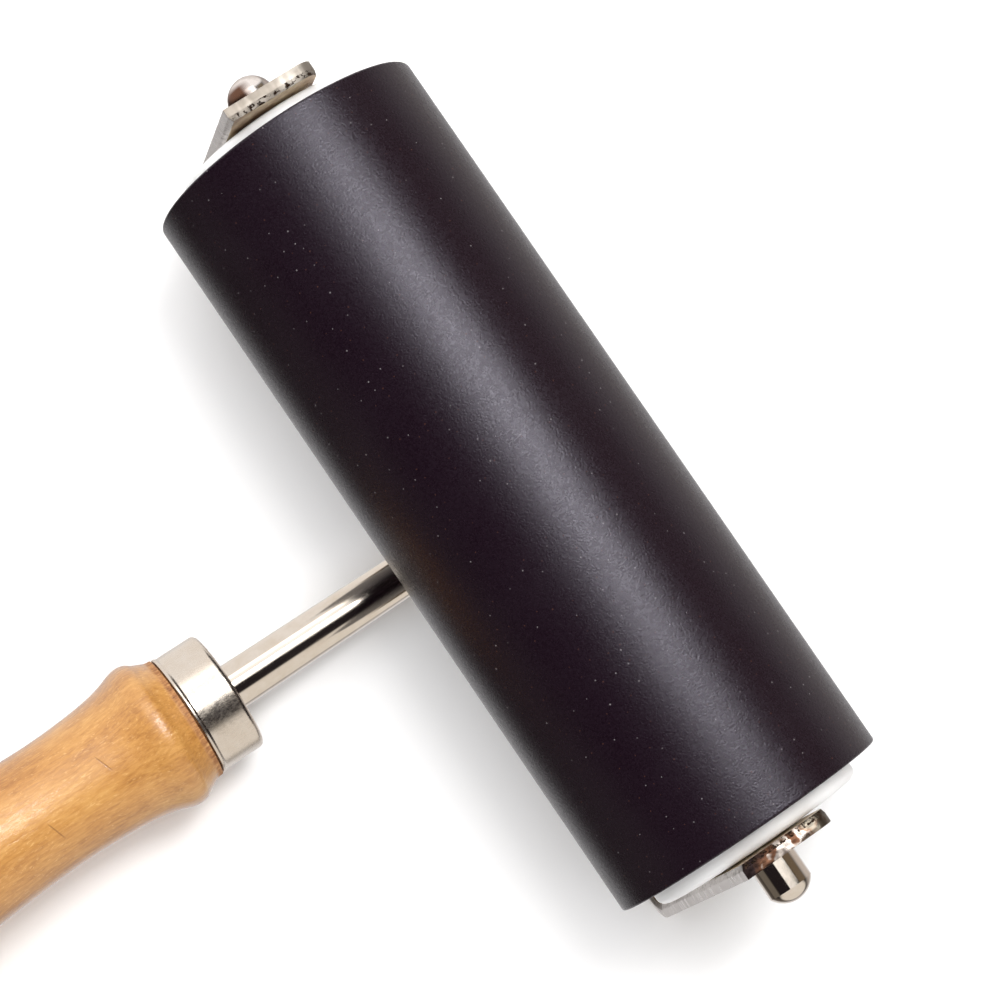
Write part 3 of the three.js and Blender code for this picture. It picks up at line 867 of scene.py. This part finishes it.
# ---------------------------------------------------------------- stem, ferrule and handle
def make_stem(bright):
    """The tapered rod from the back bar, with a pointed tang inside the handle."""
    low, high = extent("stem")
    ferrule_x = extent("ferrule")[0].x
    handle_low, handle_high = extent("wood_handle")
    axis_z = (handle_low.z + handle_high.z) / 2
    back = high.y
    step_x = ferrule_x + STEM_IN_FERRULE
    corners = [
        (0, low.x, 0), (STEM_FRONT_RADIUS, low.x, STEM_FRONT_EDGE), (back, ferrule_x, 0),
        (back, step_x, BROKEN), (TANG_RADIUS, step_x, BROKEN), (TANG_RADIUS, high.x - TANG_POINT, ROUNDED),
        (0, high.x, 0),
    ]
    outline = rounded(corners, 5, closed=False)
    finish_piece("stem", lathe(outline, "X", axis_z, SMALL, closed=False), bright)
    return axis_z, back


WELD_COLUMNS = 20
WELD_ROWS = 36
WELD_END = 0.25  # a bead's size at its ends, as a share of its size in the middle
WELD_RIPPLE = 0.08
WELD_RIPPLES = 2.3  # from the middle of a bead to one end
WELD_LUMP = 0.10
WELD_LUMP_PITCH = 900  # lumps for each metre
WELD_HOLLOW = 1.25  # over 1, this draws a bead's face in between its legs
WELD_SHARP_DEGREES = 40


def weld_fillet(corner, first_leg, second_leg, run):
    """A rippled fillet between two walls: its legs lie on them and it runs both ways from the corner."""
    mesh = bmesh.new()
    rings = []
    for row in range(WELD_ROWS + 1):
        v = -1 + 2 * row / WELD_ROWS
        end = WELD_END + (1 - WELD_END) * math.sqrt(max(0.0, 1 - abs(v) ** 3))
        ring = [mesh.verts.new(corner + run * v)]
        for column in range(WELD_COLUMNS + 1):
            u = column / WELD_COLUMNS
            ripple = 1 - WELD_RIPPLE + WELD_RIPPLE * math.cos(math.tau * v * WELD_RIPPLES - 1.5 * u)
            lump = 1 + WELD_LUMP * noise.noise((corner + run * v) * WELD_LUMP_PITCH + Vector((u * 2, 0, 0)))
            swell = min(1.0, end * ripple * lump)
            first = first_leg * math.cos(math.pi / 2 * u) ** WELD_HOLLOW
            second = second_leg * math.sin(math.pi / 2 * u) ** WELD_HOLLOW
            ring.append(mesh.verts.new(corner + run * v + (first + second) * swell))
        rings.append(ring)
    count = WELD_COLUMNS + 2
    for before, after in zip(rings, rings[1:]):
        for index in range(count):
            beyond = (index + 1) % count
            mesh.faces.new((before[index], before[beyond], after[beyond], after[index]))
    mesh.faces.new(rings[0])
    mesh.faces.new(rings[-1])
    bmesh.ops.recalc_face_normals(mesh, faces=mesh.faces)
    return mesh


def make_welds():
    """The beads that join the stem to the back bar: one on top and one at each side."""
    look = nickel("weld", 0.2, 0.36, along=(1, 1, 1), ripple=0.02)
    low, high = extent("weld_bead_upper")
    size = high - low
    corner = Vector((high.x, (low.y + high.y) / 2, low.z))
    legs = (Vector((-size.x, 0, 0)), Vector((0, 0, size.z)))
    bead = weld_fillet(corner, *legs, Vector((0, size.y / 2, 0)))
    finish_piece("weld_bead_upper", bead, look, WELD_SHARP_DEGREES)
    for end, side in (("domed_end", -1), ("flat_end", 1)):
        low, high = extent(f"weld_bead_{end}")
        size = high - low
        stem_side = high.y if side < 0 else low.y
        corner = Vector((low.x, stem_side, (low.z + high.z) / 2))
        legs = (Vector((size.x, 0, 0)), Vector((0, side * size.y, 0)))
        bead = weld_fillet(corner, *legs, Vector((0, 0, size.z / 2)))
        finish_piece(f"weld_bead_{end}", bead, look, WELD_SHARP_DEGREES)


def make_ferrule(stem_z, stem_radius):
    """The drawn cup round the front of the handle, with a swollen rim."""
    low, high = extent("ferrule")
    rim = (high.z - low.z) / 2
    outer = rim - RIM_SWELL
    inner = outer - FERRULE_WALL
    bore = stem_radius + BOND_GAP
    corners = [
        (bore, low.x, EASED), (outer, low.x, FERRULE_EDGE),
        (outer, high.x - RIM_LENGTH - RIM_SLOPE, ROUNDED), (rim, high.x - RIM_LENGTH, BROKEN),
        (rim, high.x, RIM_EDGE), (inner, high.x, THIN_EDGE),
        (inner, low.x + FERRULE_WALL, EASED), (bore, low.x + FERRULE_WALL, CRISP),
    ]
    look = nickel("satin_nickel", 0.18, 0.32, along=(0.5, 1, 1), ripple=0.012)
    finish_piece("ferrule", lathe(rounded(corners, 8), "X", stem_z), look)
    return outer, high.x


def smooth_through(knots, steps):
    """A Catmull-Rom curve through (radius, x) knots."""
    points = []
    padded = [knots[0], *knots, knots[-1]]
    for a, b, c, d in zip(padded, padded[1:], padded[2:], padded[3:]):
        for step in range(steps):
            t = step / steps
            point = []
            for p0, p1, p2, p3 in zip(a, b, c, d):
                point.append(0.5 * (2 * p1 + (p2 - p0) * t + (2 * p0 - 5 * p1 + 4 * p2 - p3) * t ** 2
                                    + (3 * p1 - p0 - 3 * p2 + p3) * t ** 3))
            points.append(tuple(point))
    points.append(knots[-1])
    return points


OUTLINE_STEPS = 7  # between two rings of the CAD handle
CHIP_REACH = 1.6 * MM  # the bare shoulder is chipped within this distance of its front
CHIP_MIDDLE = 0.6 * MM
CHIP_FADE = 1.0 * MM
CHIP_LEAST = 0.05 * MM
CHIP_DEPTH = 0.16 * MM
CHIP_PITCH = 16  # bumps of the chips' noise for each radian round the handle
HANDLE_SHARP_DEGREES = 60


def make_handle(stem_z, ferrule_radius, ferrule_end):
    """The turned handle: its outline runs smoothly through the rings of the CAD handle."""
    low, high = extent("wood_handle")
    rings = {}
    for vertex in frame["nodes"]["wood_handle"].data.vertices:
        place = TOOL.inverted() @ vertex.co
        along = round(place.x / MM, 2)
        radius = math.hypot(place.y, place.z - stem_z)
        rings[along] = max(rings.get(along, 0.0), radius)
    tang_bore = TANG_RADIUS + BOND_GAP
    bore_end = extent("stem")[1].x + SEAT_GAP
    knots = [(radius, along * MM) for along, radius in sorted(rings.items()) if along * MM > ferrule_end]
    widest_bore = tang_bore + 0.2 * MM
    knots = [knot for knot in knots if knot[0] >= widest_bore or knot[1] >= bore_end + 1 * MM]
    knots[-1] = (0.0, high.x)
    shoulder = knots[0][1]
    spigot = ferrule_radius - FERRULE_WALL - BOND_GAP
    inside = rounded([(0, bore_end, 0), (tang_bore, bore_end, ROUNDED), (tang_bore, low.x, EASED),
                      (spigot, low.x, 0.4 * MM), (spigot, shoulder, 0)], 4, closed=False)
    length = high.x - shoulder
    trimmed = []
    for radius, along in knots:
        part = (along - shoulder) / length
        trimmed.append((max(0.0, radius - OUTLINE_TRIM), along - OUTLINE_TRIM * part))
    curve = [(max(0.0, radius), along) for radius, along in smooth_through(trimmed, OUTLINE_STEPS)]
    outline = [tuple(point) for point in inside] + curve
    mesh = lathe(outline, "X", stem_z, LARGE, closed=False)
    chip_shoulder(mesh, stem_z, shoulder, spigot + 0.3 * MM)
    shoulder_end = knots[1][1]
    finish_piece("wood_handle", mesh, lacquered_wood(shoulder_end), HANDLE_SHARP_DEGREES)


def chip_shoulder(mesh, stem_z, shoulder, least_radius):
    """Roughens the turned shoulder next to the ferrule, outside a radius."""
    for vertex in mesh.verts:
        place = vertex.co
        outward = Vector((0, place.y, place.z - stem_z))
        if abs(place.x - shoulder) >= CHIP_REACH or outward.length <= least_radius:
            continue
        fade = max(0.0, 1 - abs(place.x - shoulder - CHIP_MIDDLE) / CHIP_FADE)
        angle = math.atan2(outward.z, outward.y)
        round_it = Vector((math.cos(angle), math.sin(angle), 0)) * CHIP_PITCH
        chip = noise.noise(round_it + Vector((0, 0, place.x * 300)))
        pull = (CHIP_LEAST + CHIP_DEPTH * max(0.0, chip)) * fade
        vertex.co = place - outward.normalized() * pull


# ---------------------------------------------------------------- studio
FLOOR_SIZE = 6.0
KEY_TILT = 24.0  # degrees from straight up toward -X
KEY_SLOPE_Y = -0.135
KEY_DISTANCE = 1.1
KEY_WIDTH = 0.50
KEY_LENGTH = 0.27
KEY_RADIANCE = 13.0
PANEL_HEIGHT = 1.13
PANEL_X = (-1.14, 0.09)
PANEL_Y = (-1.32, 0.185)
PANEL_RADIANCE = 1.3
FILL_SIZE = 2.6
FILL_HEIGHT = 1.6
FILL_RADIANCE = 1.6
FLOOR_DROP = 0.05 * MM  # below the tool, so that the two never share a surface
WARM_WHITE = (1.0, 0.985, 0.965)
COOL_WHITE = (0.99, 0.99, 1.0)

# Pale and dark walls round the tool: the direction of each, the cosines at which it begins and is full,
# and its colour
WALLS = (
    ((0, -1, 0), 0.48, 0.62, (0.98, 0.94, 0.91)),
    ((0, 1, 0), 0.70, 0.82, (0.85, 0.80, 0.74)),
    ((-1, 0, 0), 0.62, 0.80, (0.17, 0.13, 0.09)),
    ((1, 0, 0), 0.90, 0.97, (0.16, 0.14, 0.12)),
    ((-0.77, 0, -0.64), 0.60, 0.95, (0.62, 0.57, 0.54)),
    ((0, 0, -1), 0.15, 0.70, (0.14, 0.12, 0.105)),
    ((0, 0, -1), 0.60, 0.86, (0.80, 0.78, 0.78)),
    ((0, 0, 1), -2.0, -1.5, (0.018, 0.014, 0.016)),
)


def add_floor():
    data = bpy.data.meshes.new("floor")
    half = FLOOR_SIZE / 2
    corners = [(-half, -half, 0), (half, -half, 0), (half, half, 0), (-half, half, 0)]
    data.from_pydata(corners, [], [(0, 1, 2, 3)])
    floor = bpy.data.objects.new("floor", data)
    floor.location.z = -FLOOR_DROP
    data.materials.append(studio_floor())
    floor.visible_glossy = False
    bpy.context.scene.collection.objects.link(floor)


def add_softbox(name, place, aim, width, length, radiance, colour, in_reflections=True):
    """A rectangular light whose length runs along Y and whose width lies across it."""
    lamp = bpy.data.lights.new(name, "AREA")
    lamp.shape = "RECTANGLE"
    lamp.size, lamp.size_y = width, length
    lamp.energy = radiance * math.pi * width * length
    lamp.color = colour
    box = bpy.data.objects.new(name, lamp)
    bpy.context.scene.collection.objects.link(box)
    back = (place - aim).normalized()
    across = Vector((0, 1, 0)).cross(back).normalized()
    along = back.cross(across)
    turn = Matrix((across, along, back)).transposed().to_4x4()
    box.matrix_world = Matrix.Translation(place) @ turn
    box.visible_glossy = in_reflections


def add_surround():
    """The world round the tool: a dark room with the WALLS in it, the brightest of which counts."""
    world = bpy.data.worlds.new("studio")
    bpy.context.scene.world = world
    world.use_nodes = True
    tree = world.node_tree
    tree.nodes.clear()
    place = tree.nodes.new("ShaderNodeTexCoord")
    total = None
    for toward, start, full, colour in WALLS:
        facing = tree.nodes.new("ShaderNodeVectorMath")
        facing.operation = "DOT_PRODUCT"
        tree.links.new(place.outputs["Generated"], facing.inputs[0])
        facing.inputs[1].default_value = toward
        fade = tree.nodes.new("ShaderNodeMapRange")
        fade.interpolation_type = "SMOOTHSTEP"
        fade.inputs["From Min"].default_value = start
        fade.inputs["From Max"].default_value = full
        tree.links.new(facing.outputs["Value"], fade.inputs["Value"])
        tint = tree.nodes.new("ShaderNodeVectorMath")
        tint.operation = "SCALE"
        tint.inputs[0].default_value = colour
        tree.links.new(fade.outputs["Result"], tint.inputs["Scale"])
        if total is None:
            total = tint.outputs[0]
            continue
        both = tree.nodes.new("ShaderNodeVectorMath")
        both.operation = "MAXIMUM"
        tree.links.new(total, both.inputs[0])
        tree.links.new(tint.outputs[0], both.inputs[1])
        total = both.outputs[0]
    background = tree.nodes.new("ShaderNodeBackground")
    output = tree.nodes.new("ShaderNodeOutputWorld")
    tree.links.new(total, background.inputs["Color"])
    tree.links.new(background.outputs["Background"], output.inputs["Surface"])


def add_lights():
    """A key over the roller, a wide panel beside it and a broad fill that shows in no reflection."""
    middle = TOOL.translation
    toward = Vector((-math.tan(math.radians(KEY_TILT)), KEY_SLOPE_Y, 1)).normalized()
    key_place = middle + toward * KEY_DISTANCE
    add_softbox("key", key_place, middle, KEY_WIDTH, KEY_LENGTH, KEY_RADIANCE, WARM_WHITE)
    panel_place = Vector((sum(PANEL_X) / 2, sum(PANEL_Y) / 2, PANEL_HEIGHT))
    below = panel_place - Vector((0, 0, 1))
    width, length = PANEL_X[1] - PANEL_X[0], PANEL_Y[1] - PANEL_Y[0]
    add_softbox("panel", panel_place, below, width, length, PANEL_RADIANCE, WARM_WHITE)
    above = Vector((0, 0, FILL_HEIGHT))
    add_softbox("fill", above, Vector((0, 0, 0)), FILL_SIZE, FILL_SIZE, FILL_RADIANCE, COOL_WHITE,
                in_reflections=False)


def main():
    scene = bpy.context.scene
    scene.view_settings.view_transform = "Standard"
    scene.view_settings.look = "None"
    add_camera()
    add_floor()
    add_surround()
    add_lights()
    plated = nickel()
    make_roller()
    make_axle(nickel("turned_nickel", 0.05, 0.12, along=(1, 0.4, 1), ripple=0.003))
    make_yoke(plated)
    drawn = nickel("drawn_nickel", 0.06, 0.15, along=(0.03, 1, 1), ripple=0.005)
    stem_z, stem_radius = make_stem(drawn)
    make_welds()
    ferrule_radius, ferrule_end = make_ferrule(stem_z, stem_radius)
    make_handle(stem_z, ferrule_radius, ferrule_end)


main()
